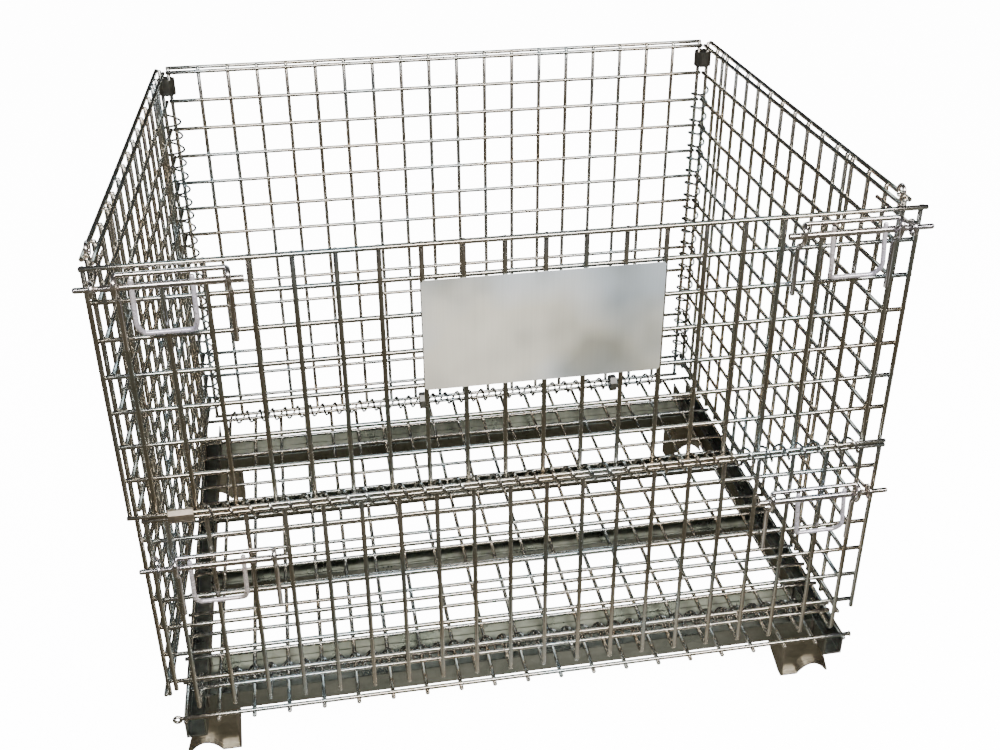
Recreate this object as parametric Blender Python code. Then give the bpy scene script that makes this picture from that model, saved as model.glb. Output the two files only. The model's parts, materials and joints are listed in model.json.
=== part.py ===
"""Folding wire mesh container with a drop gate in its front wall.

Units are metres and +Z is up. The object is laid out in its own coordinates: x runs
along the front from the middle of the mesh, y runs from the front mesh to the back
mesh, and z is counted from the deck. Function place() turns them into the world, whose
origin is the middle of the footprint on the floor.
"""

import math

import bmesh
import bpy
from mathutils import Matrix, Vector

# ---------------------------------------------------------------- driving dimensions
PITCH = 0.050            # mesh opening, wire to wire
WIRE_R = 0.0030          # corner radius of the four-sided mesh wire
LAYER = 0.0055           # between the centres of two crossing, welded wires
BORDER_SHIFT = 0.0006    # border wires sit this much deeper into the other layer
COLUMNS = 20             # full-height upright wires of the front and the back
DEPTH = 0.815            # front mesh plane to back mesh plane
TOP_Z = 0.700            # inner top wire above the deck
RIM_STEP = 0.005         # outer top wire above the inner one
TIP = 0.0015             # uprights end this much above the outer top wire's centre
TOP_CELL = 0.050         # first mesh row below the top wire
FLOOR_TO_DECK = 0.131    # clear height of the base
CENTRE_X = 0.0070        # mesh middle, from the middle of the footprint
FRONT_Y = -0.3992        # front mesh plane, from the middle of the footprint

# front wall
GATE_SHIFT = -0.0065     # the gate hangs this much to the left of the lower half
GATE_PITCH = 0.0504      # its uprights stand this far apart
GATE_BOTTOM_Z = 0.357    # gate's hinge wire
GATE_LEFT, GATE_RIGHT = -0.5185, 0.4995   # outermost gate uprights
GATE_TOP_CELL = 0.043
GATE_ROWS = 6            # rows between the gate's top row and its hinge wire
LOWER_TOP_Z = 0.350      # lower half's hinge wire
LOWER_HALF = 0.5015      # outermost uprights of the lower half
LOWER_ROWS = [0.309 - 0.049 * i for i in range(6)]
LOWER_SHORT_Z = 0.053    # outermost uprights stop here
FLANGE_Z = 0.012         # lower half bends inwards at this height
FLANGE_Y = 0.0715        # and ends here
FLANGE_WIRE_Y = 0.036
FLANGE_GAP = 0.0035      # from its centre line up to the ends of the uprights

# deck
EDGE_Y = -0.003          # front edge wire of the deck
DECK_LOW_Z = -LAYER      # wires that run front to back, under the cross wires
DECK_ROW0_Y = 0.070
DECK_ROWS = 15
DECK_REAR_Y = 0.802
DECK_HALF = 0.4965
STUB = 0.007             # wire ends past a weld

# base channels
CHANNEL_TOP = -0.009
CROSS_BOTTOM = -0.032
SIDE_BOTTOM = -0.042
SHEET = 0.003
CROSS_HALF = 0.4695
SIDE_IN, SIDE_OUT = 0.470, 0.500
FRONT_CHANNEL = (0.046, 0.134)   # from its front wall to its rear wall
MIDDLE_CHANNELS = ((0.296, 0.330), (0.501, 0.535))
REAR_CHANNEL = (0.672, 0.738)

# feet
FOOT_IN, FOOT_OUT = 0.432, 0.513
FOOT_TOP = SIDE_BOTTOM - 0.0004
FOOT_SHOULDER = 0.485    # the outer edge leans in to here at the top
FOOT_FLAT = 0.460        # the sole is flat from FOOT_IN to here
NOTCH_RISE = 0.018       # of the wave that sits on the rim below
LIP_Y = 0.009            # rim's edge, inwards from the end channel's outer wall
FACE_Y = 0.018           # foot's face
FLANGE_END_Y = 0.082     # inner flange ends here
SWEEP_RISE = 0.024       # and its lower edge rises by this much

# side walls, in hinge coordinates: u runs from the hinge to the front
HINGE_X, HINGE_Y = 0.480, 0.807
SIDE_OFF = 0.0085        # side uprights, outwards from the hinge line
SIDE_U0 = 0.0010         # rearmost upright
SIDE_PITCH = 0.0522
SIDE_COLUMNS = 16
SIDE_EXTRAS = (0.084, 0.609)
SIDE_BOTTOM_Z = 0.0255
LEFT_SPLAY = math.radians(2.0)
LOOP_BACK = 0.012        # the corner loop stands this far behind the front upright
LOOP_R, LOOP_RISE = 0.0080, 0.0115

# hinge coils
COIL_PITCH = 0.025
COIL_WIRE_R = 0.0018
COIL_SPREAD = 0.003      # one turn is wound within this length
COIL_R = 0.0125
GATE_COIL_SHIFT = 0.0010  # keeps the gate's coil clear of both halves' uprights
CORNER_COIL_R = 0.0160

# slide bolts, from the outer hook towards the middle of the front
ROD_Y = -0.014
ROD_R = 0.0045
NOSE_R = 0.0036
HOOKS = 0.127            # between the two hooks of the guide
ROD_OUT, ROD_IN = 0.047, 0.144
BAR_RISE = 0.0155
LEG_DROP = 0.085
GUIDE_R = 0.0025
HANDLE_LEGS = (0.018, 0.0865)
HANDLE_FOOT_IN = 0.004   # the handle's legs close in by this much
HANDLE_DROP = 0.062
LATCHES = {
    # name: (wall, side, outer hook from the middle, rod height)
    "upper_left": ("gate", -1, 0.4840, 0.6830),
    "upper_right": ("gate", 1, 0.4660, 0.6820),
    "lower_left": ("lower", -1, 0.4710, 0.2765),
    "lower_right": ("lower", 1, 0.4700, 0.2775),
}

# material: colour, roughness, metallic
ZINC_WIRE = ("zinc wire", (0.47, 0.45, 0.41), 0.34, 1.0)
ZINC_SHEET = ("zinc sheet", (0.55, 0.55, 0.51), 0.38, 1.0)
CHANNEL_STEEL = ("galvanised channel", (0.24, 0.25, 0.22), 0.45, 1.0)
BOLT_STEEL = ("plated bolt steel", (0.60, 0.55, 0.50), 0.28, 1.0)

ORIGIN = Vector((CENTRE_X, FRONT_Y, FLOOR_TO_DECK))
X, Y, Z = Vector((1, 0, 0)), Vector((0, 1, 0)), Vector((0, 0, 1))


# ---------------------------------------------------------------- general helpers
def place(x, y, z):
    """World position of a point given in the container's own coordinates."""
    return ORIGIN + Vector((x, y, z))


def material(spec):
    name, colour, roughness, metallic = spec
    made = bpy.data.materials.get(name)
    if made is None:
        made = bpy.data.materials.new(name)
        made.use_nodes = True
        shader = made.node_tree.nodes["Principled BSDF"]
        shader.inputs["Base Color"].default_value = (*colour, 1.0)
        shader.inputs["Roughness"].default_value = roughness
        shader.inputs["Metallic"].default_value = metallic
    return made


def finish(name, bm, spec, pivot=None, parent=None):
    """Make the object from world-space geometry, with its origin at pivot."""
    bmesh.ops.recalc_face_normals(bm, faces=bm.faces)
    frame = Matrix.Translation(pivot) if pivot is not None else Matrix.Identity(4)
    if parent is not None and pivot is None:
        frame = parent.matrix_world.copy()
    bm.transform(frame.inverted())
    mesh = bpy.data.meshes.new(name)
    bm.to_mesh(mesh)
    bm.free()
    mesh.materials.append(material(spec))
    made = bpy.data.objects.new(name, mesh)
    bpy.context.scene.collection.objects.link(made)
    made.matrix_world = frame
    if parent is not None:
        made.parent = parent
        made.matrix_parent_inverse = parent.matrix_world.inverted()
    return made


def combine(target, other, operation):
    """Boolean target with other, which stays in the scene as a hidden guide."""
    other.hide_render = True
    other.display_type = "WIRE"
    step = target.modifiers.new(operation.lower(), "BOOLEAN")
    step.operation = operation
    step.solver = "EXACT"
    step.object = other


def welded(name, first, second, spec, **where):
    """Two layers of wires, each layer free of crossings, welded into one body."""
    base = finish(name, first, spec, **where)
    combine(base, finish(name + ".layer", second, spec, **where), "UNION")
    return base


def tube(bm, points, radius, sides=4, turn=0.0):
    """Sweep a polygon along a polyline with mitred corners and flat ends."""
    points = [Vector(p) for p in points]
    ways = [(b - a).normalized() for a, b in zip(points, points[1:])]
    across = next(a for a in (X, Y, Z) if abs(a.dot(ways[0])) < 0.7)
    right = (across - ways[0] * across.dot(ways[0])).normalized()
    up = ways[0].cross(right)
    offsets = []
    for i in range(sides):
        angle = turn + math.tau * i / sides
        offsets.append((right * math.cos(angle) + up * math.sin(angle)) * radius)
    rings = []
    for i, point in enumerate(points):
        before = ways[max(i - 1, 0)]
        after = ways[min(i, len(ways) - 1)]
        normal = (before + after).normalized()
        offsets = [o - before * (o.dot(normal) / before.dot(normal)) for o in offsets]
        rings.append([bm.verts.new(point + o) for o in offsets])
    for low, high in zip(rings, rings[1:]):
        for i in range(sides):
            j = (i + 1) % sides
            bm.faces.new((low[i], low[j], high[j], high[i]))
    bm.faces.new(rings[0][::-1])
    bm.faces.new(rings[-1])


def rod(bm, start, end, flat=False):
    """A straight mesh wire, standing on its edge or, if flat, on its side."""
    tube(bm, (start, end), WIRE_R, 4, math.radians(45) if flat else 0.0)


def prism(bm, outline, low, high, to_point):
    """Extrude a flat outline from low to high. to_point(a, b, c) gives the position."""
    start = [bm.verts.new(to_point(a, b, low)) for a, b in outline]
    end = [bm.verts.new(to_point(a, b, high)) for a, b in outline]
    count = len(outline)
    for i in range(count):
        j = (i + 1) % count
        bm.faces.new((start[i], start[j], end[j], end[i]))
    bm.faces.new(start[::-1])
    bm.faces.new(end)


def ring_band(bm, centre, along, u, v, inner, outer, low, high, sides=8, squash=1.0):
    """A short sleeve round an axis. squash widens it along v."""
    loops = []
    for radius, reach in ((inner, low), (outer, low), (outer, high), (inner, high)):
        loop = []
        for i in range(sides):
            angle = math.tau * (i + 0.5) / sides
            side = u * radius * math.cos(angle) + v * radius * squash * math.sin(angle)
            loop.append(bm.verts.new(centre + along * reach + side))
        loops.append(loop)
    for k in range(4):
        a, b = loops[k], loops[(k + 1) % 4]
        for i in range(sides):
            j = (i + 1) % sides
            bm.faces.new((a[i], a[j], b[j], b[i]))


def coil(bm, centre, along, u, v, radius, count, link_deg):
    """Wind a hinge coil. Each turn lies between two crossing wires, and the link to
    the next turn passes them at link_deg, counted from u towards v."""
    points = []
    for k in range(count):
        for j in range(6):
            angle = math.radians(link_deg + 30 + 60 * j)
            reach = k * COIL_PITCH + COIL_SPREAD * (j / 5 - 0.5)
            side = (u * math.cos(angle) + v * math.sin(angle)) * radius
            points.append(centre + along * reach + side)
    tube(bm, points, COIL_WIRE_R, 3)


def columns(pitch=PITCH, shift=0.0):
    """The x of each full-height upright wire."""
    return [pitch * (i - (COLUMNS - 1) / 2) + shift for i in range(COLUMNS)]


def mesh_rows(count, first=TOP_CELL):
    """The heights of the level wires below the top wire."""
    return [TOP_Z - first - PITCH * i for i in range(count)]


# ---------------------------------------------------------------- base
def build_deck():
    lengthwise, crosswise = bmesh.new(), bmesh.new()
    for i in range(-9, 10):
        low = place(i * PITCH, EDGE_Y - STUB, DECK_LOW_Z)
        rod(lengthwise, low, place(i * PITCH, DECK_REAR_Y + 0.0045, DECK_LOW_Z))
    for x in (-DECK_HALF, DECK_HALF):
        z = DECK_LOW_Z + BORDER_SHIFT
        start, end = place(x, EDGE_Y - 0.0045, z), place(x, DECK_REAR_Y + 0.0045, z)
        rod(lengthwise, start, end)
    for y, half in ((EDGE_Y, 0.505), (DECK_REAR_Y, 0.5035)):
        rod(crosswise, place(-half, y, 0), place(half, y, 0))
    for i in range(DECK_ROWS - 1):
        y = DECK_ROW0_Y + PITCH * i
        rod(crosswise, place(-0.5035, y, 0), place(0.5035, y, 0), flat=True)
    welded("deck_mesh", lengthwise, crosswise, ZINC_WIRE)


def channel_outline(low, high, bottom, apron=None):
    """An upturned channel's section. Its first wall may hang lower than the floor."""
    inner = bottom + SHEET
    outline = [(low, CHANNEL_TOP), (low, bottom)]
    if apron is not None:
        outline[-1:] = [(low, apron), (low + SHEET, apron), (low + SHEET, bottom)]
    outline += [(high, bottom), (high, CHANNEL_TOP), (high - SHEET, CHANNEL_TOP)]
    outline += [(high - SHEET, inner), (low + SHEET, inner), (low + SHEET, CHANNEL_TOP)]
    return outline


def build_channels():
    across = {
        "front_cross_channel": (*FRONT_CHANNEL, SIDE_BOTTOM),
        "middle_cross_channel_front": (*MIDDLE_CHANNELS[0], None),
        "middle_cross_channel_rear": (*MIDDLE_CHANNELS[1], None),
        "rear_cross_channel": (*REAR_CHANNEL, None),
    }
    for name, (low, high, apron) in across.items():
        bm = bmesh.new()
        outline = channel_outline(low, high, CROSS_BOTTOM, apron)
        prism(bm, outline, -CROSS_HALF, CROSS_HALF, lambda y, z, x: place(x, y, z))
        finish(name, bm, CHANNEL_STEEL)
    for side, name in ((-1, "left"), (1, "right")):
        bm = bmesh.new()
        outline = channel_outline(SIDE_IN, SIDE_OUT, SIDE_BOTTOM)
        prism(bm, outline, 0.0, 0.800, lambda x, z, y: place(side * x, y, z))
        finish(f"side_channel_{name}", bm, CHANNEL_STEEL)


def sole_wave(raised):
    """The foot's bottom edge from its inner side to its outer tip."""
    floor = -FLOOR_TO_DECK + raised
    points = [(FOOT_IN, floor)]
    start, end = FOOT_FLAT, FOOT_OUT - 0.004
    for i in range(9):
        share = i / 8
        lift = NOTCH_RISE * math.sin(math.pi * share) ** 0.8
        points.append((start + (end - start) * share, floor + lift))
    points.append((FOOT_OUT, floor))
    return points


def foot_face(rim):
    """The foot's outline from the front, or its pocket with a rim left at the edge."""
    wave = sole_wave(rim)
    if not rim:
        return wave + [(FOOT_SHOULDER, FOOT_TOP), (FOOT_IN, FOOT_TOP)]
    wave[0] = (FOOT_IN - 0.01, wave[0][1])
    wave[-2:] = [(FOOT_OUT - 1.4 * rim, -FLOOR_TO_DECK + 1.6 * rim)]
    return wave + [(FOOT_SHOULDER - 1.2 * rim, FOOT_TOP + 0.01), (FOOT_IN - 0.01, FOOT_TOP + 0.01)]


def build_foot(name, side, front):
    """A pressed foot: a face with a rim along its sole and outer edge, and a flange."""
    edge, inward = (FRONT_CHANNEL[0], 1) if front else (REAR_CHANNEL[1], -1)

    def put(x, z, y):
        return place(side * x, edge + inward * y, z)

    bm = bmesh.new()
    prism(bm, foot_face(0), LIP_Y, FACE_Y + SHEET, put)
    foot = finish(name, bm, CHANNEL_STEEL)
    bm = bmesh.new()
    prism(bm, foot_face(SHEET), LIP_Y - 0.01, FACE_Y, put)
    combine(foot, finish(name + ".pocket", bm, CHANNEL_STEEL), "DIFFERENCE")
    floor = -FLOOR_TO_DECK
    flange = [
        (LIP_Y, floor), (FACE_Y + SHEET, floor), (FLANGE_END_Y, floor + SWEEP_RISE),
        (FLANGE_END_Y, FOOT_TOP), (LIP_Y, FOOT_TOP),
    ]
    bm = bmesh.new()
    prism(bm, flange, FOOT_IN, FOOT_IN + SHEET, lambda y, z, x: put(x, z, y))
    combine(foot, finish(name + ".flange", bm, CHANNEL_STEEL), "UNION")


def build_feet():
    for side, across in ((-1, "left"), (1, "right")):
        build_foot(f"foot_front_{across}", side, True)
        build_foot(f"foot_rear_{across}", side, False)


# ---------------------------------------------------------------- back wall
def build_back():
    upright, level = bmesh.new(), bmesh.new()
    xs = columns()
    border = (xs[0], xs[-1])
    top = TOP_Z + RIM_STEP + TIP
    for x in xs:
        y = DEPTH - (BORDER_SHIFT if x in border else 0.0)
        rod(upright, place(x, y, 0.004), place(x, y, top))
    half = xs[-1] + 0.004
    inside, outside = DEPTH - LAYER, DEPTH + LAYER
    rod(level, place(-half, outside, TOP_Z + RIM_STEP), place(half, outside, TOP_Z + RIM_STEP))
    rod(level, place(-half, inside, 0.007), place(half, inside, 0.007))
    for z in [TOP_Z] + mesh_rows(13):
        rod(level, place(-half, inside, z), place(half, inside, z), flat=True)
    welded("back_panel_mesh", upright, level, ZINC_WIRE)


# ---------------------------------------------------------------- front wall
def build_lower_front():
    """The lower half. Its uprights bend inwards at the deck: the level part that they
    make there is a node of its own, so that each part is flat in collision."""
    upright, level = bmesh.new(), bmesh.new()
    top, foot = LOWER_TOP_Z + TIP, FLANGE_Z + FLANGE_GAP
    for x in columns():
        rod(upright, place(x, 0, foot), place(x, 0, top))
    for x in (-LOWER_HALF, LOWER_HALF):
        rod(upright, place(x, BORDER_SHIFT, top), place(x, BORDER_SHIFT, LOWER_SHORT_Z))
    half = LOWER_HALF + 0.004
    rod(level, place(-half, -LAYER, LOWER_TOP_Z), place(half, -LAYER, LOWER_TOP_Z))
    for i, z in enumerate(LOWER_ROWS):
        rod(level, place(-half, LAYER, z), place(half, LAYER, z), flat=i > 0)
    welded("front_lower_mesh", upright, level, ZINC_WIRE)


def build_lower_flange():
    """The level part of the lower half's uprights, with its two cross wires."""
    inward, level = bmesh.new(), bmesh.new()
    for x in columns():
        rod(inward, place(x, -WIRE_R, FLANGE_Z), place(x, FLANGE_Y, FLANGE_Z))
    for y, z, reach in (
        (FLANGE_WIRE_Y, FLANGE_Z + LAYER, 0.488),
        (FLANGE_Y - 0.0035, FLANGE_Z - LAYER, 0.480),
    ):
        rod(level, place(-reach, y, z), place(reach, y, z))
    welded("front_lower_flange", inward, level, ZINC_WIRE)


def gate_pivot():
    """An empty on the gate's hinge line."""
    pivot = bpy.data.objects.new("gate_pivot", None)
    bpy.context.scene.collection.objects.link(pivot)
    pivot.matrix_world = Matrix.Translation(place(GATE_SHIFT, -LAYER, GATE_BOTTOM_Z))
    return pivot


def build_gate(pivot):
    upright, level = bmesh.new(), bmesh.new()
    top = TOP_Z + RIM_STEP + TIP
    low = GATE_BOTTOM_Z - 0.0015
    for x in columns(GATE_PITCH, GATE_SHIFT):
        rod(upright, place(x, 0, low), place(x, 0, top))
    for x in (GATE_LEFT, GATE_RIGHT):
        rod(upright, place(x, BORDER_SHIFT, low), place(x, BORDER_SHIFT, top))
    left, right = GATE_LEFT - 0.0035, GATE_RIGHT + 0.0060
    for z in (TOP_Z + RIM_STEP, GATE_BOTTOM_Z):
        rod(level, place(left, -LAYER, z), place(right, -LAYER, z))
    rod(level, place(left, LAYER, TOP_Z), place(right, LAYER, TOP_Z))
    for z in mesh_rows(GATE_ROWS, GATE_TOP_CELL):
        rod(level, place(left, LAYER, z), place(right, LAYER, z), flat=True)
    welded("front_gate_mesh", upright, level, ZINC_WIRE, parent=pivot)


def build_label_plate(pivot):
    """A plain sheet in front of the gate's uprights, with clipped corners."""
    left, right, low, high, clip = -0.135, 0.170, 0.505, 0.657, 0.003
    outline = [
        (left + clip, low), (right - clip, low), (right, low + clip), (right, high - clip),
        (right - clip, high), (left + clip, high), (left, high - clip), (left, low + clip),
    ]
    front = -WIRE_R - 0.0004
    bm = bmesh.new()
    prism(bm, outline, front - 0.0012, front, lambda x, z, y: place(x, y, z))
    finish("label_plate", bm, ZINC_SHEET, parent=pivot)


# ---------------------------------------------------------------- side walls
def side_pivot(name, side, splay):
    """An empty on a side wall's hinge line, turned by the wall's splay."""
    pivot = bpy.data.objects.new(name, None)
    bpy.context.scene.collection.objects.link(pivot)
    turn = Matrix.Rotation(-splay, 4, "Z")
    pivot.matrix_world = Matrix.Translation(place(side * HINGE_X, HINGE_Y, 0)) @ turn
    return pivot


def side_place(pivot, side):
    """Positions in a side wall: u to the front, off outwards, z above the deck."""
    def put(u, off, z):
        return pivot.matrix_world @ Vector((side * off, -u, z))
    return put


def build_side(name, pivot, side):
    put = side_place(pivot, side)
    upright, level = bmesh.new(), bmesh.new()
    top = TOP_Z + RIM_STEP + TIP
    spots = [SIDE_U0 + SIDE_PITCH * i for i in range(SIDE_COLUMNS)]
    border = (spots[0], spots[-1])
    for u in spots + list(SIDE_EXTRAS):
        off = SIDE_OFF - (BORDER_SHIFT if u in border else 0.0)
        rod(upright, put(u, off, SIDE_BOTTOM_Z - 0.003), put(u, off, top))
    rear, front = spots[0] - 0.0038, spots[-1] + 0.0038
    inner, outer = SIDE_OFF - LAYER, SIDE_OFF + LAYER
    rim = TOP_Z + RIM_STEP
    rod(level, put(rear, outer, rim), put(front, outer, rim))
    rod(level, put(rear, outer, SIDE_BOTTOM_Z), put(front, outer, SIDE_BOTTOM_Z))
    rod(level, put(rear, inner, TOP_Z), put(front, inner, TOP_Z))
    for z in mesh_rows(13):
        rod(level, put(rear, inner, z), put(front, inner, z), flat=True)
    welded(name, upright, level, ZINC_WIRE, parent=pivot)


def build_keeper(name, pivot, side, z):
    """A bolt keeper: a tail along the side wall, turned outwards behind the front mesh."""
    put = side_place(pivot, side)
    inner = SIDE_OFF - LAYER - 0.0010
    front = SIDE_U0 + SIDE_PITCH * (SIDE_COLUMNS - 1)
    points = (
        put(front - 0.052, inner, z + 0.003),
        put(front + 0.0045, inner, z + 0.003),
        put(front + 0.0085, inner + 0.010, z + 0.001),
        put(front + 0.0085, inner + 0.020, z - 0.004),
    )
    bm = bmesh.new()
    tube(bm, points, GUIDE_R)
    finish(name, bm, ZINC_WIRE, parent=pivot)


def build_corner_loop(name, pivot, side):
    """An open wire loop that stands on the front end of a side wall's rim."""
    put = side_place(pivot, side)
    u = SIDE_U0 + SIDE_PITCH * (SIDE_COLUMNS - 1) - LOOP_BACK
    off = SIDE_OFF
    points = [put(u, off, TOP_Z - 0.020), put(u, off, TOP_Z)]
    for i in range(6):
        angle = math.radians(-60 + 55 * i)
        across, up = LOOP_R * math.cos(angle), LOOP_R * math.sin(angle)
        points.append(put(u + across, off, TOP_Z + LOOP_RISE + up))
    bm = bmesh.new()
    tube(bm, points, GUIDE_R)
    finish(name, bm, ZINC_WIRE, parent=pivot)


# ---------------------------------------------------------------- hinge coils and sleeves
def build_coils():
    low_row = mesh_rows(13)[-1]
    for side, name, link in ((-1, "left", 135), (1, "right", 45)):
        bm = bmesh.new()
        centre = place(side * HINGE_X, HINGE_Y, low_row - COIL_PITCH / 2)
        coil(bm, centre, Z, X, Y, CORNER_COIL_R, 24, link)
        finish(f"hinge_coil_back_{name}", bm, ZINC_WIRE)
    bm = bmesh.new()
    start = GATE_SHIFT - 16.5 * COIL_PITCH + GATE_COIL_SHIFT
    centre = place(start, -0.0035, (GATE_BOTTOM_Z + LOWER_TOP_Z) / 2)
    coil(bm, centre, X, Y, Z, COIL_R, 36, -10)
    finish("hinge_coil_gate", bm, ZINC_WIRE)
    bm = bmesh.new()
    coil(bm, place(-0.4375, 0.069, 0.003), X, Y, Z, COIL_R, 36, 45)
    finish("hinge_coil_front_bottom", bm, ZINC_WIRE)
    bm = bmesh.new()
    coil(bm, place(-0.4375, 0.8055, 0.003), X, Y, Z, COIL_R, 36, -45)
    finish("hinge_coil_back_bottom", bm, ZINC_WIRE)


def build_sleeves():
    for side, name in ((-1, "left"), (1, "right")):
        bm = bmesh.new()
        centre = place(side * HINGE_X, HINGE_Y, 0)
        ring_band(bm, centre, Z, X, Y, 0.0142, 0.0152, 0.664, 0.691)
        finish(f"corner_sleeve_{name}", bm, CHANNEL_STEEL)
        bm = bmesh.new()
        centre = place(-0.0625 if side < 0 else 0.3375, 0.8055, 0.003)
        ring_band(bm, centre, X, Y, Z, 0.0160, 0.0172, -0.0065, 0.0065)
        finish(f"back_clip_{name}", bm, ZINC_SHEET)
    bm = bmesh.new()
    centre = place(-0.4550, -LAYER, (GATE_BOTTOM_Z + LOWER_TOP_Z) / 2)
    ring_band(bm, centre, X, Y, Z, 0.0052, 0.0060, -0.016, 0.016, squash=1.75)
    finish("gate_hinge_sleeve", bm, ZINC_SHEET)


# ---------------------------------------------------------------- slide bolts
def latch_place(side, hook, z):
    """Positions in a latch: s from its outer hook to the middle of the front, y from
    the rod's axis towards the mesh, h above the rod."""
    def put(s, y, h):
        return place(side * (hook - s), ROD_Y + y, z + h)
    return put


def hook_path(put, s):
    """From the top bar down in front of the rod, then back to a leg on the mesh."""
    path = [
        (0.0000, BAR_RISE), (-0.0080, 0.0090), (-0.0095, 0.0000), (-0.0050, -0.0085),
        (0.0080, -0.0170), (0.0080, -LEG_DROP),
    ]
    return [put(s, y, h) for y, h in path]


def build_guide(name, put, parent):
    """One bent wire: a top bar, a hook in front of the rod at each end, and two legs."""
    bm = bmesh.new()
    tube(bm, hook_path(put, 0.0)[::-1] + hook_path(put, HOOKS), GUIDE_R)
    finish(name, bm, ZINC_WIRE, parent=parent)


def build_bolt(name, put, parent):
    """A round rod with a thinner nose."""
    bm = bmesh.new()
    stations = ((-ROD_OUT, NOSE_R), (-0.012, NOSE_R), (-0.009, ROD_R), (ROD_IN, ROD_R))
    rings = []
    for s, radius in stations:
        ring = []
        for i in range(8):
            angle = math.tau * (i + 0.5) / 8
            ring.append(bm.verts.new(put(s, radius * math.cos(angle), radius * math.sin(angle))))
        rings.append(ring)
    for low, high in zip(rings, rings[1:]):
        for i in range(8):
            j = (i + 1) % 8
            bm.faces.new((low[i], low[j], high[j], high[i]))
    bm.faces.new(rings[0][::-1])
    bm.faces.new(rings[-1])
    return finish(name, bm, BOLT_STEEL, pivot=put(0, 0, 0), parent=parent)


def build_handle(name, put, parent):
    """A hanging U whose legs hook over the rod and whose foot turns back to the mesh."""
    reach = ROD_R + GUIDE_R + 0.0004
    over = reach + 0.0008
    near, far = HANDLE_LEGS
    leg = [
        (0.0, 0.0005, over), (0.0, -reach, 0.0045), (0.0, -reach, -HANDLE_DROP + 0.014),
        (HANDLE_FOOT_IN, 0.0035, -HANDLE_DROP),
    ]
    points = [put(near + s, y, h) for s, y, h in leg]
    points += [put(far - s, y, h) for s, y, h in leg[::-1]]
    bm = bmesh.new()
    tube(bm, points, GUIDE_R)
    finish(name, bm, BOLT_STEEL, pivot=put(0, 0, 0), parent=parent)


def build_latches(pivot):
    for name, (wall, side, hook, z) in LATCHES.items():
        put = latch_place(side, hook, z)
        parent = pivot if wall == "gate" else None
        build_guide(f"bolt_guide_{name}", put, parent)
        bolt = build_bolt(f"slide_bolt_{name}", put, parent)
        bpy.context.view_layer.update()
        build_handle(f"bolt_handle_{name}", put, bolt)


# ---------------------------------------------------------------- assembly
def main():
    for old in list(bpy.data.objects):
        bpy.data.objects.remove(old, do_unlink=True)
    build_deck()
    build_channels()
    build_feet()
    build_back()
    build_lower_front()
    build_lower_flange()
    gate = gate_pivot()
    left = side_pivot("left_pivot", -1, LEFT_SPLAY)
    right = side_pivot("right_pivot", 1, 0.0)
    bpy.context.view_layer.update()
    build_gate(gate)
    build_label_plate(gate)
    for side, across, pivot in ((-1, "left", left), (1, "right", right)):
        build_side(f"side_panel_mesh_{across}", pivot, side)
        build_corner_loop(f"corner_loop_{across}", pivot, side)
        for level in ("upper", "lower"):
            z = LATCHES[f"{level}_{across}"][3]
            build_keeper(f"bolt_keeper_{level}_{across}", pivot, side, z)
    build_coils()
    build_sleeves()
    build_latches(gate)


main()
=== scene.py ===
"""Looks of the folding wire mesh container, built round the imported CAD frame.

Positions are worked out in the container's own coordinates: x along the front from the
middle of the mesh, y from the front mesh to the back mesh, z from the deck. ORIGIN,
read from the frame, turns them into the row frame.
"""

import json
import math
import random

import bmesh
import bpy
from mathutils import Matrix, Vector


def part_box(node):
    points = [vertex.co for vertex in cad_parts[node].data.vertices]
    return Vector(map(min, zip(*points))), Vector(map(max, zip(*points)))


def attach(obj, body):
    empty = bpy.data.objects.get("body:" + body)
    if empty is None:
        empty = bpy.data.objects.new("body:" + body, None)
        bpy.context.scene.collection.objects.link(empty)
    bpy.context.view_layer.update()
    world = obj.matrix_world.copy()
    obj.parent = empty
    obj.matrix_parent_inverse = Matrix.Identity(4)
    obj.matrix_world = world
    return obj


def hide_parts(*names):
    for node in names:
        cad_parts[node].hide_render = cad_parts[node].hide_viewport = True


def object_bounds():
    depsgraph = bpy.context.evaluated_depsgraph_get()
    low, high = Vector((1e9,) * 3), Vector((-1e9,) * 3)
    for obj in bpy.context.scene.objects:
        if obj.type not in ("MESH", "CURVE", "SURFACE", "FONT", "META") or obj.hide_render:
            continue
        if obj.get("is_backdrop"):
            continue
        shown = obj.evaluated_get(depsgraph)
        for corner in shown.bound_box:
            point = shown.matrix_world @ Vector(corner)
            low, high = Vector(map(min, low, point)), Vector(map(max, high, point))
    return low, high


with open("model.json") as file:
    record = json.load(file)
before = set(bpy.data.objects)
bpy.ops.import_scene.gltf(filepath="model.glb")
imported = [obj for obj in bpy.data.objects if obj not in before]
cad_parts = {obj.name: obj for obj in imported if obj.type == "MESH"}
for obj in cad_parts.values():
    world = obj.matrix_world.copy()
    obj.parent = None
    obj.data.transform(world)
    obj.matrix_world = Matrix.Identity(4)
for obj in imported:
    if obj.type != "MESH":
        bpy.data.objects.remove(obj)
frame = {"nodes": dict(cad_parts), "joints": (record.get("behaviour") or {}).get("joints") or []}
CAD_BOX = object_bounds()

X, Y, Z = Vector((1, 0, 0)), Vector((0, 1, 0)), Vector((0, 0, 1))
JOINTS = {joint["name"]: joint for joint in frame["joints"]}

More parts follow.
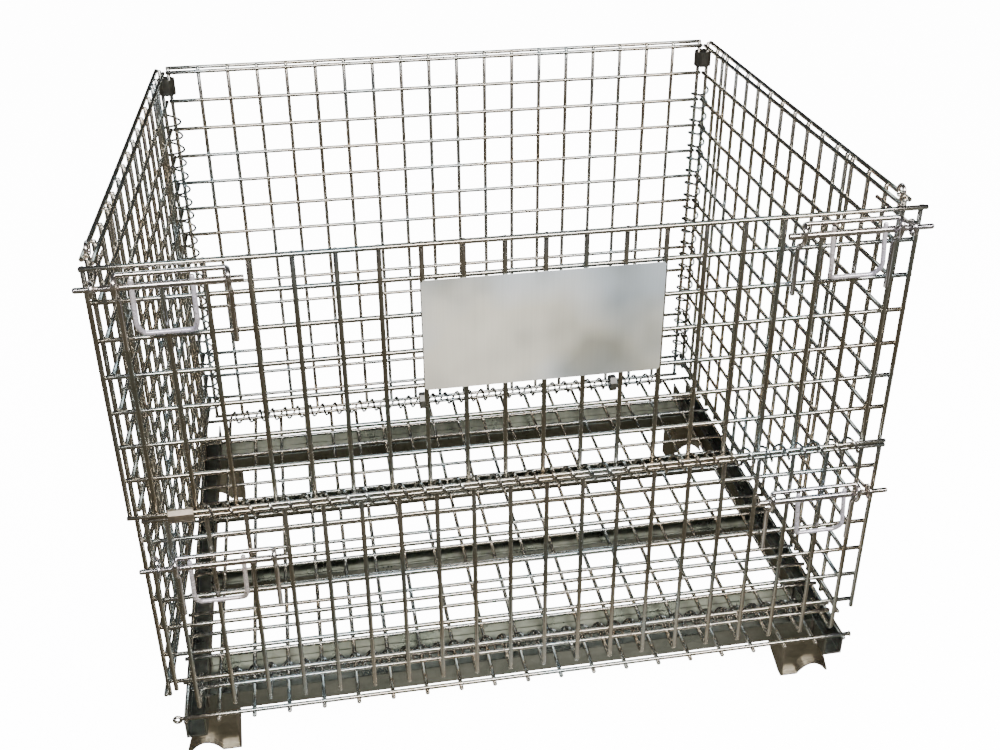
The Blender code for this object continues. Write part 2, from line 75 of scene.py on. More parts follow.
# ---------------------------------------------------------------- sizes
WIRE = 0.0032             # radius of a mesh wire
LAYER = 0.0055            # between the centres of two crossing wires
PITCH = 0.050
COLUMNS = 20
TOP_Z, RIM_STEP, TOP_CELL, GATE_TOP_CELL = 0.700, 0.005, 0.050, 0.043
GATE_PITCH = 0.0504
GATE_LEFT, GATE_RIGHT = -0.5185, 0.4995
GATE_BOTTOM_Z, LOWER_TOP_Z = 0.357, 0.350
LOWER_HALF, LOWER_SHORT_Z = 0.5015, 0.053
LOWER_ROWS = [0.309 - 0.049 * i for i in range(6)]
FLANGE_Z, FLANGE_Y = 0.012, 0.0715
EDGE_Y, DECK_LOW_Z = -0.003, -0.0055
DECK_ROW0_Y, DECK_REAR_Y = 0.070, 0.802
DECK_HALF = 0.4965
SIDE_OFF, SIDE_U0, SIDE_PITCH, SIDE_COLUMNS = 0.0085, 0.0010, 0.0522, 16
SIDE_EXTRAS = (0.084, 0.609)
SIDE_BOTTOM_Z = 0.0255
SHEET = 0.003
COIL_PITCH, COIL_WIRE = 0.025, 0.0020
GATE_COIL_R, BOTTOM_COIL_R, CORNER_COIL_R = 0.0107, 0.0112, 0.0148

HINGE_L = Vector(JOINTS["left_side_swing"]["pos_m"])
HINGE_R = Vector(JOINTS["right_side_swing"]["pos_m"])
HINGE_GATE = Vector(JOINTS["gate_drop"]["pos_m"])
DECK_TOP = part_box("deck_mesh")[1].z
ORIGIN = Vector(((HINGE_L.x + HINGE_R.x) / 2, HINGE_GATE.y + LAYER, DECK_TOP - 0.003))
GATE_SHIFT = HINGE_GATE.x - ORIGIN.x
HINGE_X = (HINGE_R.x - HINGE_L.x) / 2
HINGE_Y = HINGE_R.y - ORIGIN.y
BACK_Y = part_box("back_panel_mesh")[1].y - ORIGIN.y - LAYER - 0.003
FLOOR_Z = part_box("foot_front_left")[0].z - ORIGIN.z
GATE, BASE = "drop_gate", "base_frame"
SIDES = {"left": -1, "right": 1}


def place(x, y, z):
    return ORIGIN + Vector((x, y, z))


# ---------------------------------------------------------------- mesh building
def finish(name, bm, material, body, nodes=(), smooth=40):
    bmesh.ops.recalc_face_normals(bm, faces=bm.faces)
    mesh = bpy.data.meshes.new(name)
    bm.to_mesh(mesh)
    bm.free()
    mesh.materials.append(material)
    piece = bpy.data.objects.new(name, mesh)
    bpy.context.scene.collection.objects.link(piece)
    mesh.polygons.foreach_set("use_smooth", [True] * len(mesh.polygons))
    mesh.set_sharp_from_angle(angle=math.radians(smooth))
    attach(piece, body)
    if nodes:
        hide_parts(*nodes)
    return piece


def bent(points, bend, steps=5):
    """Round the corners of a polyline."""
    points = [Vector(p) for p in points]
    out = [points[0]]
    for before, corner, after in zip(points, points[1:], points[2:]):
        back, ahead = before - corner, after - corner
        cut = min(bend, back.length * 0.49, ahead.length * 0.49)
        start, end = corner + back.normalized() * cut, corner + ahead.normalized() * cut
        for i in range(steps + 1):
            t = i / steps
            out.append(start * (1 - t) ** 2 + corner * 2 * t * (1 - t) + end * t * t)
    out.append(points[-1])
    return out


def tube(bm, points, radius, sides=10, closed=False, round_ends=True, radii=None):
    """Sweep a round wire along a path, turning its section with the path."""
    points = [Vector(p) for p in points]
    count = len(points)
    ways = []
    for i in range(count):
        if closed:
            ways.append((points[(i + 1) % count] - points[i - 1]).normalized())
        else:
            ways.append((points[min(i + 1, count - 1)] - points[max(i - 1, 0)]).normalized())
    across = min((X, Y, Z), key=lambda a: abs(a.dot(ways[0])))
    right = (across - ways[0] * across.dot(ways[0])).normalized()
    rings = []
    stations = []
    for i, point in enumerate(points):
        right = (right - ways[i] * right.dot(ways[i])).normalized()
        stations.append((point, ways[i], right.copy(), radii[i] if radii else radius))
    if round_ends and not closed:
        first, last = stations[0], stations[-1]
        cap = 0.35 * radius
        head = [(first[0], first[1], first[2], first[3] * 0.72)]
        head.append((first[0] + first[1] * cap, first[1], first[2], first[3]))
        tail = [(last[0] - last[1] * cap, last[1], last[2], last[3])]
        tail.append((last[0], last[1], last[2], last[3] * 0.72))
        stations = head + stations[1:-1] + tail
    for point, way, side, size in stations:
        up = way.cross(side)
        ring = []
        for k in range(sides):
            angle = math.tau * k / sides
            spoke = side * math.cos(angle) + up * math.sin(angle)
            ring.append(bm.verts.new(point + spoke * size))
        rings.append(ring)
    pairs = list(zip(rings, rings[1:]))
    if closed:
        pairs.append((rings[-1], rings[0]))
    for low, high in pairs:
        for k in range(sides):
            j = (k + 1) % sides
            bm.faces.new((low[k], low[j], high[j], high[k]))
    if not closed:
        bm.faces.new(rings[0][::-1])
        bm.faces.new(rings[-1])


def wire(bm, start, end, rng, bow=0.0004, radius=WIRE, pieces=6):
    """A drawn wire that is not quite straight."""
    start, end = Vector(start), Vector(end)
    way = (end - start).normalized()
    side = way.orthogonal().normalized()
    up = way.cross(side)
    phase_a, phase_b = rng.uniform(0, math.tau), rng.uniform(0, math.tau)
    size_a, size_b = rng.uniform(-bow, bow), rng.uniform(-bow, bow)
    points = []
    for i in range(pieces + 1):
        t = i / pieces
        swing = size_a * math.sin(math.pi * t) + 0.4 * size_b * math.sin(3 * math.pi * t + phase_a)
        lift = size_b * math.sin(math.pi * t) + 0.4 * size_a * math.sin(2 * math.pi * t + phase_b)
        points.append(start.lerp(end, t) + side * swing + up * lift)
    tube(bm, points, radius)


def weld(bm, centre, normal, rng, size=0.0031):
    """The squeezed metal where two crossing wires are welded."""
    normal = Vector(normal).normalized()
    side = normal.orthogonal().normalized()
    up = normal.cross(side)
    wide = size * rng.uniform(0.9, 1.15)
    tall = 0.0019 * rng.uniform(0.9, 1.2)
    rings, around = [], 8
    for step in (-0.75, 0.0, 0.75):
        reach = math.sqrt(1 - step * step)
        ring = []
        for k in range(around):
            angle = math.tau * k / around
            spoke = side * math.cos(angle) + up * math.sin(angle)
            ring.append(bm.verts.new(centre + spoke * wide * reach + normal * tall * step))
        rings.append(ring)
    for low, high in zip(rings, rings[1:]):
        for k in range(around):
            j = (k + 1) % around
            bm.faces.new((low[k], low[j], high[j], high[k]))
    bm.faces.new(rings[0][::-1])
    bm.faces.new(rings[-1])


def columns(pitch=PITCH, shift=0.0):
    return [pitch * (i - (COLUMNS - 1) / 2) + shift for i in range(COLUMNS)]


def mesh_rows(count, first=TOP_CELL):
    return [TOP_Z - first - PITCH * i for i in range(count)]


# ---------------------------------------------------------------- materials
def nodes_of(name):
    material = bpy.data.materials.new(name)
    material.use_nodes = True
    tree = material.node_tree
    return material, tree, tree.nodes["Principled BSDF"]


def add(tree, kind, **values):
    node = tree.nodes.new(kind)
    for key, value in values.items():
        if key in node.inputs:
            node.inputs[key].default_value = value
        else:
            setattr(node, key, value)
    return node


def ramp(tree, source, stops):
    node = tree.nodes.new("ShaderNodeValToRGB")
    elements = node.color_ramp.elements
    while len(elements) < len(stops):
        elements.new(0.5)
    for element, (position, colour) in zip(elements, stops):
        element.position = position
        element.color = (*colour, 1.0)
    tree.links.new(source, node.inputs["Fac"])
    return node.outputs["Color"]


def noise(tree, vector, scale, detail=3.0, rough=0.55):
    node = add(tree, "ShaderNodeTexNoise")
    node.inputs["Scale"].default_value = scale
    node.inputs["Detail"].default_value = detail
    node.inputs["Roughness"].default_value = rough
    tree.links.new(vector, node.inputs["Vector"])
    return node.outputs["Fac"]


def mix(tree, factor, a, b, blend="MIX"):
    node = tree.nodes.new("ShaderNodeMix")
    node.data_type = "RGBA"
    node.blend_type = blend
    for value, socket in ((factor, node.inputs[0]), (a, node.inputs[6]), (b, node.inputs[7])):
        if isinstance(value, bpy.types.NodeSocket):
            tree.links.new(value, socket)
        elif isinstance(value, tuple):
            socket.default_value = (*value, 1.0)
        else:
            socket.default_value = value
    return node.outputs[2]


def zinc_wire(name, light, warm, cool, rough=(0.20, 0.28), bump=0.012):
    """Bright zinc on drawn wire: warm and cool passivation, handling marks, fine pits."""
    material, tree, shader = nodes_of(name)
    place_of = tree.nodes.new("ShaderNodeTexCoord").outputs["Object"]
    patches = ramp(tree, noise(tree, place_of, 9.0), [(0.35, warm), (0.50, light), (0.66, cool)])
    grime = ramp(tree, noise(tree, place_of, 70.0, 5.0), [(0.34, (0.66, 0.62, 0.56)), (0.46, (1, 1, 1))])
    tree.links.new(mix(tree, 0.25, patches, grime, "MULTIPLY"), shader.inputs["Base Color"])
    shader.inputs["Metallic"].default_value = 1.0
    worn = ramp(tree, noise(tree, place_of, 130.0, 4.0),
                [(0.3, (rough[0],) * 3), (0.7, (rough[1],) * 3)])
    tree.links.new(worn, shader.inputs["Roughness"])
    pits = add(tree, "ShaderNodeBump", Strength=bump, Distance=0.0004)
    tree.links.new(noise(tree, place_of, 900.0, 4.0), pits.inputs["Height"])
    tree.links.new(pits.outputs["Normal"], shader.inputs["Normal"])
    return material


def zinc_sheet(name, dark, light, spangle, rough=(0.3, 0.5), streak=0.35, metallic=1.0):
    """Zinc on sheet: faint spangle, long rolling streaks, cloudy patches."""
    material, tree, shader = nodes_of(name)
    coord = tree.nodes.new("ShaderNodeTexCoord").outputs["Object"]
    flakes = add(tree, "ShaderNodeTexVoronoi")
    flakes.inputs["Scale"].default_value = spangle
    tree.links.new(coord, flakes.inputs["Vector"])
    grey = tree.nodes.new("ShaderNodeRGBToBW")
    tree.links.new(flakes.outputs["Color"], grey.inputs["Color"])
    clouds = noise(tree, coord, 14.0, 5.0, 0.65)
    stretch = add(tree, "ShaderNodeMapping")
    stretch.inputs["Scale"].default_value = (6.0, 160.0, 160.0)
    tree.links.new(coord, stretch.inputs["Vector"])
    streaks = noise(tree, stretch.outputs["Vector"], 1.0, 3.0)
    cloud_colour = ramp(tree, clouds, [(0.32, dark), (0.68, light)])
    flake_colour = ramp(tree, grey.outputs["Val"], [(0.2, (0.82, 0.82, 0.82)), (0.8, (1, 1, 1))])
    streak_colour = ramp(tree, streaks, [(0.35, (0.78, 0.77, 0.74)), (0.62, (1, 1, 1))])
    colour = mix(tree, 0.8, cloud_colour, flake_colour, "MULTIPLY")
    colour = mix(tree, streak, colour, streak_colour, "MULTIPLY")
    tree.links.new(colour, shader.inputs["Base Color"])
    shader.inputs["Metallic"].default_value = metallic
    worn = ramp(tree, clouds, [(0.3, (rough[0],) * 3), (0.7, (rough[1],) * 3)])
    tree.links.new(worn, shader.inputs["Roughness"])
    relief = add(tree, "ShaderNodeBump", Strength=0.08, Distance=0.0006)
    tree.links.new(streaks, relief.inputs["Height"])
    tree.links.new(relief.outputs["Normal"], shader.inputs["Normal"])
    return material


MESH_ZINC = zinc_wire("mesh_zinc", (0.58, 0.56, 0.50), (0.53, 0.48, 0.40), (0.50, 0.56, 0.57))
COIL_ZINC = zinc_wire("coil_zinc", (0.50, 0.50, 0.47), (0.42, 0.39, 0.34), (0.44, 0.50, 0.52))
BOLT_ZINC = zinc_wire("bolt_zinc", (0.76, 0.72, 0.69), (0.68, 0.61, 0.56), (0.69, 0.70, 0.78), (0.18, 0.26))
HANDLE_ZINC = zinc_wire("handle_zinc", (0.80, 0.77, 0.84), (0.70, 0.64, 0.60), (0.76, 0.75, 0.92), (0.22, 0.34))
HANDLE_ZINC.node_tree.nodes["Principled BSDF"].inputs["Metallic"].default_value = 0.55
SLEEVE_ZINC = zinc_sheet("sleeve_zinc", (0.12, 0.12, 0.11), (0.20, 0.20, 0.18), 80.0)
HINGE_SLEEVE_ZINC = zinc_sheet("hinge_sleeve_zinc", (0.46, 0.40, 0.33), (0.66, 0.58, 0.48), 90.0)
CLIP_ZINC = zinc_sheet("clip_zinc", (0.45, 0.45, 0.43), (0.66, 0.66, 0.62), 120.0)
CHANNEL_ZINC = zinc_sheet("channel_zinc", (0.22, 0.24, 0.21), (0.38, 0.39, 0.35), 60.0, (0.24, 0.36))
FOOT_ZINC = zinc_sheet("foot_zinc", (0.40, 0.38, 0.32), (0.60, 0.57, 0.49), 70.0, (0.32, 0.50))
WELD_ZINC = zinc_sheet("weld_zinc", (0.16, 0.15, 0.13), (0.34, 0.32, 0.28), 200.0, (0.35, 0.6))


def plate_zinc():
    """Bright, softly clouded sheet with an upright grain and a slight bow, with a painted reflection across it:
    light over the left half, dark towards the right end.
    """
    material, tree, shader = nodes_of("plate_zinc")
    coord = tree.nodes.new("ShaderNodeTexCoord").outputs["Object"]
    clouds = noise(tree, coord, 9.0, 2.0, 0.45)
    tint = ramp(tree, noise(tree, coord, 6.0, 2.0, 0.4), [
        (0.38, (0.66, 0.75, 0.82)), (0.50, (0.72, 0.77, 0.77)), (0.62, (0.78, 0.77, 0.66))])
    shade = ramp(tree, clouds, [(0.34, (0.50, 0.51, 0.50)), (0.52, (0.84, 0.85, 0.85)), (0.66, (1, 1, 1))])
    split = tree.nodes.new("ShaderNodeSeparateXYZ")
    tree.links.new(coord, split.inputs[0])
    # painted reflection: a fixed brightness ramp along x, light over the left half of the plate and dark towards
    # its right end
    low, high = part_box("label_plate")
    across = add(tree, "ShaderNodeMapRange")
    across.inputs["From Min"].default_value, across.inputs["From Max"].default_value = low.x, high.x
    tree.links.new(split.outputs["X"], across.inputs["Value"])
    side = ramp(tree, across.outputs["Result"], [
        (0.0, (0.88, 0.88, 0.88)), (0.25, (1, 1, 1)), (0.50, (0.98, 0.98, 0.98)), (0.82, (0.58, 0.59, 0.58)),
        (1.0, (0.70, 0.71, 0.70))])
    stretch = add(tree, "ShaderNodeMapping")
    stretch.inputs["Scale"].default_value = (420.0, 420.0, 9.0)
    tree.links.new(coord, stretch.inputs["Vector"])
    grain = ramp(tree, noise(tree, stretch.outputs["Vector"], 1.0, 3.0),
                 [(0.3, (0.93, 0.93, 0.93)), (0.7, (1, 1, 1))])
    # the painted reflection ramp darkens the plate's colour here
    colour = mix(tree, 0.9, mix(tree, 1.0, tint, shade, "MULTIPLY"), side, "MULTIPLY")
    tree.links.new(mix(tree, 0.8, colour, grain, "MULTIPLY"), shader.inputs["Base Color"])
    shader.inputs["Metallic"].default_value = 0.10
    shader.inputs["Roughness"].default_value = 0.42
    bow = add(tree, "ShaderNodeBump", Strength=0.25, Distance=0.004)
    tree.links.new(clouds, bow.inputs["Height"])
    tree.links.new(bow.outputs["Normal"], shader.inputs["Normal"])
    return material


PLATE_ZINC = plate_zinc()


# ---------------------------------------------------------------- mesh walls
def make_gate():
    rng = random.Random(11)
    bm = bmesh.new()
    top = TOP_Z + RIM_STEP + 0.001
    low = GATE_BOTTOM_Z - 0.001
    uprights = columns(GATE_PITCH, GATE_SHIFT) + [GATE_LEFT, GATE_RIGHT]
    left, right = GATE_LEFT - 0.0035, GATE_RIGHT + 0.0060
    levels = [(-LAYER, TOP_Z + RIM_STEP), (-LAYER, GATE_BOTTOM_Z), (LAYER, TOP_Z)]
    levels += [(LAYER, z) for z in mesh_rows(6, GATE_TOP_CELL)]
    for x in uprights:
        wire(bm, place(x, 0, low), place(x, 0, top), rng)
    for y, z in levels:
        wire(bm, place(left, y, z), place(right, y, z), rng, pieces=12)
        for x in uprights:
            weld(bm, place(x, y / 2, z), Y, rng)
    finish("gate_wires", bm, MESH_ZINC, GATE, ["front_gate_mesh"])


def make_lower_front():
    rng = random.Random(12)
    bm = bmesh.new()
    top = LOWER_TOP_Z + 0.001
    xs = columns()
    for x in xs:
        path = [place(x, 0, top), place(x, 0, FLANGE_Z), place(x, FLANGE_Y, FLANGE_Z)]
        tube(bm, bent(path, 0.008), WIRE)
    for x in (-LOWER_HALF, LOWER_HALF):
        wire(bm, place(x, 0, LOWER_SHORT_Z), place(x, 0, top), rng)
    half = LOWER_HALF + 0.004
    for y, z in [(-LAYER, LOWER_TOP_Z)] + [(LAYER, z) for z in LOWER_ROWS]:
        wire(bm, place(-half, y, z), place(half, y, z), rng, pieces=12)
        for x in xs + [-LOWER_HALF, LOWER_HALF]:
            weld(bm, place(x, y / 2, z), Y, rng)
    for y, z, reach in ((0.036, FLANGE_Z + LAYER, 0.488), (FLANGE_Y - 0.0035, FLANGE_Z - LAYER, 0.480)):
        wire(bm, place(-reach, y, z), place(reach, y, z), rng, pieces=12)
        for x in xs:
            weld(bm, place(x, y, (z + FLANGE_Z) / 2), Z, rng)
    finish("lower_front_wires", bm, MESH_ZINC, BASE,
           ["front_lower_mesh", "front_lower_flange"])


def make_back():
    rng = random.Random(13)
    bm = bmesh.new()
    xs = columns()
    half = xs[-1] + 0.004
    for x in xs:
        wire(bm, place(x, BACK_Y, 0.004), place(x, BACK_Y, TOP_Z + RIM_STEP + 0.001), rng)
    levels = [(LAYER, TOP_Z + RIM_STEP), (-LAYER, 0.007), (-LAYER, TOP_Z)]
    levels += [(-LAYER, z) for z in mesh_rows(13)]
    for y, z in levels:
        wire(bm, place(-half, BACK_Y + y, z), place(half, BACK_Y + y, z), rng, pieces=12)
        for x in xs:
            weld(bm, place(x, BACK_Y + y / 2, z), Y, rng)
    finish("back_wires", bm, MESH_ZINC, BASE, ["back_panel_mesh"])


def make_deck():
    rng = random.Random(14)
    bm = bmesh.new()
    inner = [i * PITCH for i in range(-9, 10)]
    for x in inner:
        wire(bm, place(x, EDGE_Y - 0.007, DECK_LOW_Z), place(x, DECK_REAR_Y + 0.004, DECK_LOW_Z), rng)
    for x in (-DECK_HALF, DECK_HALF):
        wire(bm, place(x, EDGE_Y - 0.004, DECK_LOW_Z), place(x, DECK_REAR_Y + 0.004, DECK_LOW_Z), rng)
    levels = [EDGE_Y, DECK_REAR_Y] + [DECK_ROW0_Y + PITCH * i for i in range(14)]
    for y in levels:
        half = 0.505 if y == EDGE_Y else 0.5035
        wire(bm, place(-half, y, 0), place(half, y, 0), rng, pieces=12)
        for x in inner + [-DECK_HALF, DECK_HALF]:
            weld(bm, place(x, y, DECK_LOW_Z / 2), Z, rng)
    weld(bm, place(0.506, EDGE_Y, 0), X, rng, size=0.0048)
    curl = [place(-0.507 + 0.0052 * math.cos(math.radians(a)), EDGE_Y - 0.001, 0.0052 * math.sin(math.radians(a)))
            for a in range(30, 351, 32)]
    tube(bm, curl, 0.0024)
    finish("deck_wires", bm, MESH_ZINC, BASE, ["deck_mesh"])


def make_channel_welds():
    """Rough beads where the walls of the cross channels meet the side channels."""
    rng = random.Random(21)
    bm = bmesh.new()
    for channel in ("front_cross_channel", "middle_cross_channel_front",
                    "middle_cross_channel_rear", "rear_cross_channel"):
        low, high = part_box(channel)
        for x, inward in ((low.x, 1), (high.x, -1)):
            for y in (low.y + SHEET / 2, high.y - SHEET / 2):
                points, radii = [], []
                for i in range(9):
                    points.append(Vector((x + inward * 0.0012, y + rng.uniform(-0.0006, 0.0006), high.z - 0.022 * i / 8)))
                    radii.append(rng.uniform(0.0024, 0.0034))
                tube(bm, points, 0.0028, 8, radii=radii)
    finish("channel_welds", bm, WELD_ZINC, BASE)


def side_frame(side):
    """The hinge line of a side wall and the directions to its front and outside."""
    hinge = HINGE_L if side < 0 else HINGE_R
    name = "left" if side < 0 else "right"
    low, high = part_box(f"side_panel_mesh_{name}")
    # the left wall leans outwards towards the front: read how much from its box
    reach = hinge.y - low.y
    out = (hinge.x - low.x) if side < 0 else (high.x - hinge.x)
    lean = max(0.0, (out - SIDE_OFF - LAYER - 0.003) / reach)
    front = Vector((side * lean, -1, 0)).normalized()
    outside = Vector((side, lean, 0)).normalized()
    base = Vector((hinge.x, hinge.y, ORIGIN.z))
    def put(u, off, z):
        return base + front * u + outside * off + Z * z
    return put, outside


SIDE_SPOTS = [SIDE_U0 + SIDE_PITCH * i for i in range(SIDE_COLUMNS)]


def make_side(name, side):
    rng = random.Random(15 + side)
    put, outside = side_frame(side)
    bm = bmesh.new()
    spots = SIDE_SPOTS + list(SIDE_EXTRAS)
    top = TOP_Z + RIM_STEP + 0.001
    for u in spots:
        wire(bm, put(u, SIDE_OFF, SIDE_BOTTOM_Z - 0.003), put(u, SIDE_OFF, top), rng)
    rear, front = SIDE_SPOTS[0] - 0.0035, SIDE_SPOTS[-1] + 0.0035
    levels = [(LAYER, TOP_Z + RIM_STEP), (LAYER, SIDE_BOTTOM_Z), (-LAYER, TOP_Z)]
    levels += [(-LAYER, z) for z in mesh_rows(13)]
    for off, z in levels:
        wire(bm, put(rear, SIDE_OFF + off, z), put(front, SIDE_OFF + off, z), rng, pieces=12)
        for u in spots:
            weld(bm, put(u, SIDE_OFF + off / 2, z), outside, rng)
    finish(f"side_wires_{name}", bm, MESH_ZINC, f"{name}_side_wall",
           [f"side_panel_mesh_{name}"])


# ---------------------------------------------------------------- hinge coils
def coil(name, centre, along, u, v, radius, count, link_deg, node, gather=0.75):
    """A wound hinge wire. With gather, each turn goes round quickly between two crossing
    wires and the wire then runs on to the next; without it, the coil is an even helix."""
    bm = bmesh.new()
    steps = 24
    points = []
    for k in range(count * steps + 1):
        turn = k / steps
        reach = (turn - 0.5 + gather * math.sin(math.tau * turn) / math.tau) * COIL_PITCH
        angle = math.radians(link_deg) + math.tau * turn
        points.append(centre + along * reach + u * radius * math.cos(angle) + v * radius * math.sin(angle))
    tube(bm, points, COIL_WIRE, sides=8)
    finish(name, bm, COIL_ZINC, BASE, [node])


def make_coils():
    low_turn = mesh_rows(13)[-1] - COIL_PITCH / 2
    for name, side in SIDES.items():
        link = 135 if side < 0 else 45
        centre = place(side * HINGE_X, HINGE_Y, low_turn)
        coil(f"corner_coil_{name}", centre, Z, X, Y, CORNER_COIL_R, 24, link, f"hinge_coil_back_{name}")
    mid_z = (GATE_BOTTOM_Z + LOWER_TOP_Z) / 2
    start = GATE_SHIFT - 16.5 * COIL_PITCH + 0.0036
    centre = place(start, -0.0035, mid_z)
    coil("gate_coil", centre, X, Y, Z, GATE_COIL_R, 36, -10, "hinge_coil_gate", gather=0.0)
    centre = place(-0.4375, 0.069, 0.003)
    coil("front_bottom_coil", centre, X, Y, Z, BOTTOM_COIL_R, 36, 45, "hinge_coil_front_bottom")
    centre = place(-0.4375, 0.8055, 0.003)
    coil("back_bottom_coil", centre, X, Y, Z, BOTTOM_COIL_R, 36, -45, "hinge_coil_back_bottom")


# ---------------------------------------------------------------- slide bolts
LATCHES = {
    "upper_left": (GATE, -1), "upper_right": (GATE, 1),
    "lower_left": (BASE, -1), "lower_right": (BASE, 1),
}
HOOKS, LEG_DROP = 0.127, 0.085
HANDLE_LEGS, HANDLE_DROP = (0.018, 0.0865), 0.062
KEEPER_OUT = {
    ("upper", "left"): 0.026, ("upper", "right"): 0.019,
    ("lower", "left"): 0.022, ("lower", "right"): 0.019,
}


def latch_frame(name, side):
    """s runs from the outer hook to the middle of the front, h is above the rod."""
    centre = Vector(JOINTS[name + "_handle_lift"]["pos_m"])
    def put(s, y, h):
        return centre + Vector((-side * s, y, h))
    return put


def hook(put, s):
    """From the top bar down in front of the rod, then back to a leg on the mesh."""
    path = [
        (0.0, 0.0155), (-0.0085, 0.0100), (-0.0100, 0.0), (-0.0060, -0.0090),
        (0.0080, -0.0170), (0.0080, -LEG_DROP),
    ]
    return [put(s, y, h) for y, h in path]


def make_latch(name, body, side):
    put = latch_frame(name, side)
    bm = bmesh.new()
    tube(bm, bent(hook(put, 0.0)[::-1] + hook(put, HOOKS), 0.0045), 0.0033, 12)
    finish(f"guide_{name}", bm, BOLT_ZINC, body, [f"bolt_guide_{name}"])
    bm = bmesh.new()
    stations = [(-0.0470, 0.0024), (-0.0460, 0.0033), (-0.0445, 0.0036), (-0.0130, 0.0036),
                (-0.0105, 0.0045), (0.1425, 0.0045), (0.1440, 0.0040)]
    tube(bm, [put(s, 0, 0) for s, _ in stations], 0.0045, 16, False, False, [r for _, r in stations])
    finish(f"bolt_{name}", bm, BOLT_ZINC, f"{name}_bolt", [f"slide_bolt_{name}"])
    bm = bmesh.new()
    near, far = HANDLE_LEGS
    leg = [(0.0, 0.0, 0.0095), (0.0, -0.0006, 0.0), (0.0, -0.0085, -HANDLE_DROP + 0.016),
           (0.0045, 0.0030, -HANDLE_DROP)]
    path = [put(near + s, y, h) for s, y, h in leg] + [put(far - s, y, h) for s, y, h in leg[::-1]]
    tube(bm, bent(path, 0.007), 0.0031, 12)
    finish(f"handle_{name}", bm, HANDLE_ZINC, f"{name}_handle", [f"bolt_handle_{name}"])


def make_keeper(name, level, side):
    """A wire eye round the bolt's nose, with its tail on the side wall's inside."""
    put, outside = side_frame(side)
    node = f"bolt_keeper_{level}_{name}"
    low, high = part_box(node)
    rod = Vector(JOINTS[f"{level}_{name}_handle_lift"]["pos_m"])
    z = rod.z - ORIGIN.z
    front = SIDE_SPOTS[-1]
    inner = SIDE_OFF - LAYER - 0.001
    centre = Vector((rod.x + side * KEEPER_OUT[level, name], rod.y, rod.z))
    path = [put(front - 0.062, inner, z + 0.004), put(front - 0.004, inner, z + 0.004)]
    turns = 16
    for i in range(turns + 1):
        angle = math.radians(20 + 400 * i / turns)
        spoke = Vector((side * 0.004 * (i / turns - 0.5), 0.0092 * math.cos(angle), 0.0092 * math.sin(angle)))
        path.append(centre + spoke)
    bm = bmesh.new()
    tube(bm, bent(path, 0.006, 3), 0.0027)
    finish(f"keeper_{level}_{name}", bm, BOLT_ZINC, f"{name}_side_wall", [node])


def make_corner_loop(name, side):
    put, outside = side_frame(side)
    u = SIDE_SPOTS[-1] - 0.012
    path = [put(u, SIDE_OFF, TOP_Z - 0.020), put(u, SIDE_OFF, TOP_Z - 0.001)]
    for i in range(11):
        angle = math.radians(-70 + 32 * i)
        path.append(put(u + 0.0080 * math.cos(angle), SIDE_OFF, TOP_Z + 0.0115 + 0.0084 * math.sin(angle)))
    bm = bmesh.new()
    tube(bm, bent(path, 0.003, 3), 0.0027)
    finish(f"loop_{name}", bm, BOLT_ZINC, f"{name}_side_wall", [f"corner_loop_{name}"])


# ---------------------------------------------------------------- stage
def carry_over():
    """CAD nodes whose shape is right keep it, with rounded bends and a finish."""
    for name, node in frame["nodes"].items():
        if node.hide_render:
            continue
        finish_of, bend = CHANNEL_ZINC, 0.0011
        if name.startswith("foot"):
            finish_of = FOOT_ZINC
        elif name == "label_plate":
            finish_of, bend = PLATE_ZINC, 0.0004
        elif name.startswith("corner_sleeve"):
            finish_of, bend = SLEEVE_ZINC, 0.0003
        elif name == "gate_hinge_sleeve":
            finish_of, bend = HINGE_SLEEVE_ZINC, 0.0002
        elif "clip" in name:
            finish_of, bend = CLIP_ZINC, 0.0002
        node.data.materials.clear()
        node.data.materials.append(finish_of)
        joined = node.modifiers.new("joined", "WELD")
        joined.merge_threshold = 0.00002
        rounded = node.modifiers.new("rounded", "BEVEL")
        rounded.width, rounded.segments = bend, 2
        rounded.limit_method, rounded.angle_limit = "ANGLE", math.radians(50)
        rounded.harden_normals = False


def make_stage():
    bpy.ops.mesh.primitive_plane_add(size=60, location=(0, 0, ORIGIN.z + FLOOR_Z))
    floor = bpy.context.object
    floor.name = "studio_floor"
    material, tree, shader = nodes_of("studio_floor")
    output = tree.nodes["Material Output"]
    shader.inputs["Base Color"].default_value = (0.86, 0.86, 0.86, 1)
    shader.inputs["Roughness"].default_value = 0.9
    glow = add(tree, "ShaderNodeEmission", Strength=14.0)
    both = tree.nodes.new("ShaderNodeAddShader")
    tree.links.new(shader.outputs["BSDF"], both.inputs[0])
    tree.links.new(glow.outputs["Emission"], both.inputs[1])
    spot = tree.nodes.new("ShaderNodeTexCoord").outputs["Object"]
    patches = ramp(tree, noise(tree, spot, 0.9, 1.0), [
        (0.40, (0.085, 0.074, 0.050)), (0.56, (0.13, 0.115, 0.080)), (0.64, (0.55, 0.53, 0.47))])
    dim = add(tree, "ShaderNodeEmission", Strength=1.0)
    tree.links.new(patches, dim.inputs["Color"])
    ray = tree.nodes.new("ShaderNodeLightPath")
    chosen = tree.nodes.new("ShaderNodeMixShader")
    tree.links.new(ray.outputs["Is Camera Ray"], chosen.inputs[0])
    tree.links.new(dim.outputs["Emission"], chosen.inputs[1])
    tree.links.new(both.outputs["Shader"], chosen.inputs[2])
    tree.links.new(chosen.outputs["Shader"], output.inputs["Surface"])
    floor.data.materials.append(material)
    floor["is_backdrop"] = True


def soft_light(name, location, target, size, power, colour):
    data = bpy.data.lights.new(name, "AREA")
    data.shape = "RECTANGLE"
    data.size, data.size_y = size
    data.energy = power
    data.color = colour
    lamp = bpy.data.objects.new(name, data)
    bpy.context.scene.collection.objects.link(lamp)
    lamp.location = location
    lamp.rotation_euler = (Vector(target) - Vector(location)).to_track_quat("-Z", "Y").to_euler()


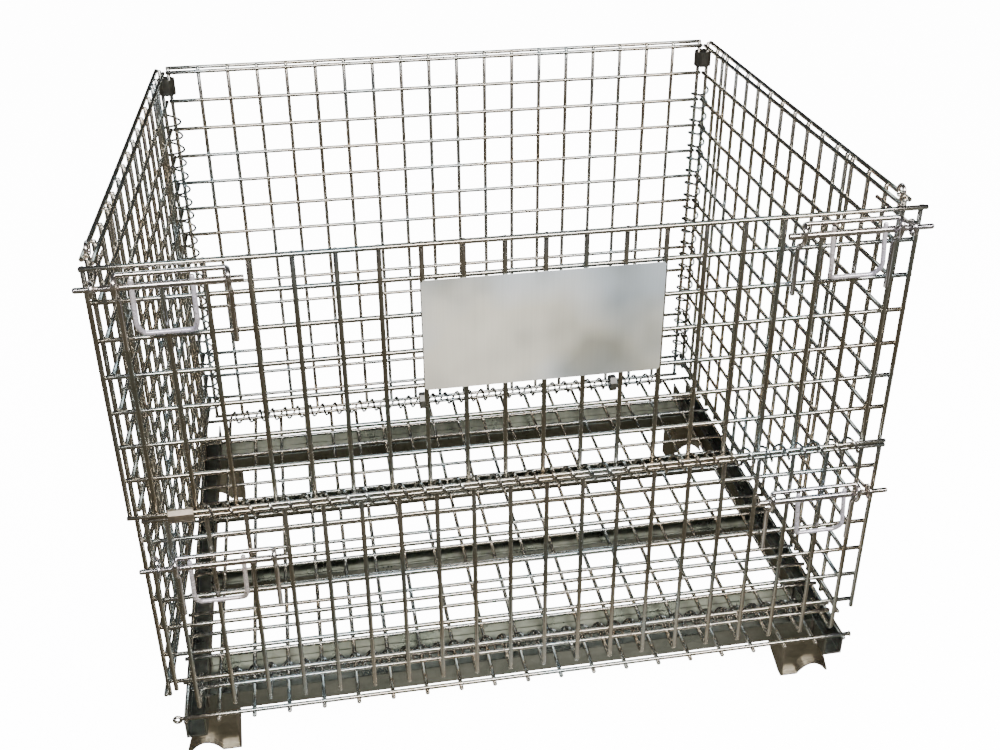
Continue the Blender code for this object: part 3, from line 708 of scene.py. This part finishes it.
def make_light():
    world = bpy.data.worlds.new("studio")
    bpy.context.scene.world = world
    world.use_nodes = True
    tree = world.node_tree
    background = tree.nodes["Background"]
    coord = tree.nodes.new("ShaderNodeTexCoord").outputs["Generated"]
    bands = ramp(tree, noise(tree, coord, 2.2, 2.0), [
        (0.36, (0.010, 0.009, 0.007)), (0.47, (0.05, 0.045, 0.036)), (0.56, (0.015, 0.016, 0.015)),
        (0.66, (0.10, 0.12, 0.13))])
    tree.links.new(bands, background.inputs["Color"])
    background.inputs["Strength"].default_value = 1.0
    soft_light("key", (0.6, -2.3, 2.4), (0.6, 0, 0.4), (4.2, 0.6), 215, (1.0, 0.95, 0.93))
    soft_light("top", (0.3, 1.2, 3.0), (0.3, 0, 0.3), (3.4, 0.35), 22, (0.78, 0.93, 1.0))
    soft_light("left", (-3.0, 0.2, 1.5), (0, 0, 0.4), (0.4, 1.2), 9, (0.9, 0.96, 1.0))


CAMERA_PLACE = (-0.2616, -1.3060, 1.2757)   # in the container's coordinates
CAMERA_PITCH, CAMERA_YAW, CAMERA_ROLL = 0.5212, -0.1691, -0.0058
CAMERA_LENS = 43.345


def make_camera():
    data = bpy.data.cameras.new("camera")
    data.sensor_width = 36.0
    data.lens = CAMERA_LENS
    data.clip_start, data.clip_end = 0.05, 100
    camera = bpy.data.objects.new("camera", data)
    bpy.context.scene.collection.objects.link(camera)
    camera.rotation_mode = "XYZ"
    turn = Matrix.Rotation(CAMERA_YAW, 4, "Z") @ Matrix.Rotation(math.pi / 2 - CAMERA_PITCH, 4, "X")
    turn = turn @ Matrix.Rotation(CAMERA_ROLL, 4, "Z")
    camera.matrix_world = Matrix.Translation(place(*CAMERA_PLACE)) @ turn
    bpy.context.scene.camera = camera


def main():
    make_gate()
    make_lower_front()
    make_back()
    make_deck()
    make_channel_welds()
    for name, side in SIDES.items():
        make_side(name, side)
        make_corner_loop(name, side)
        for level in ("upper", "lower"):
            make_keeper(name, level, side)
    make_coils()
    for name, (body, side) in LATCHES.items():
        make_latch(name, body, side)
    carry_over()
    make_stage()
    make_light()
    make_camera()


main()
boxes = {"cad": CAD_BOX, "visual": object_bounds()}
{k: [list(v[0]), list(v[1])] for k, v in boxes.items()}
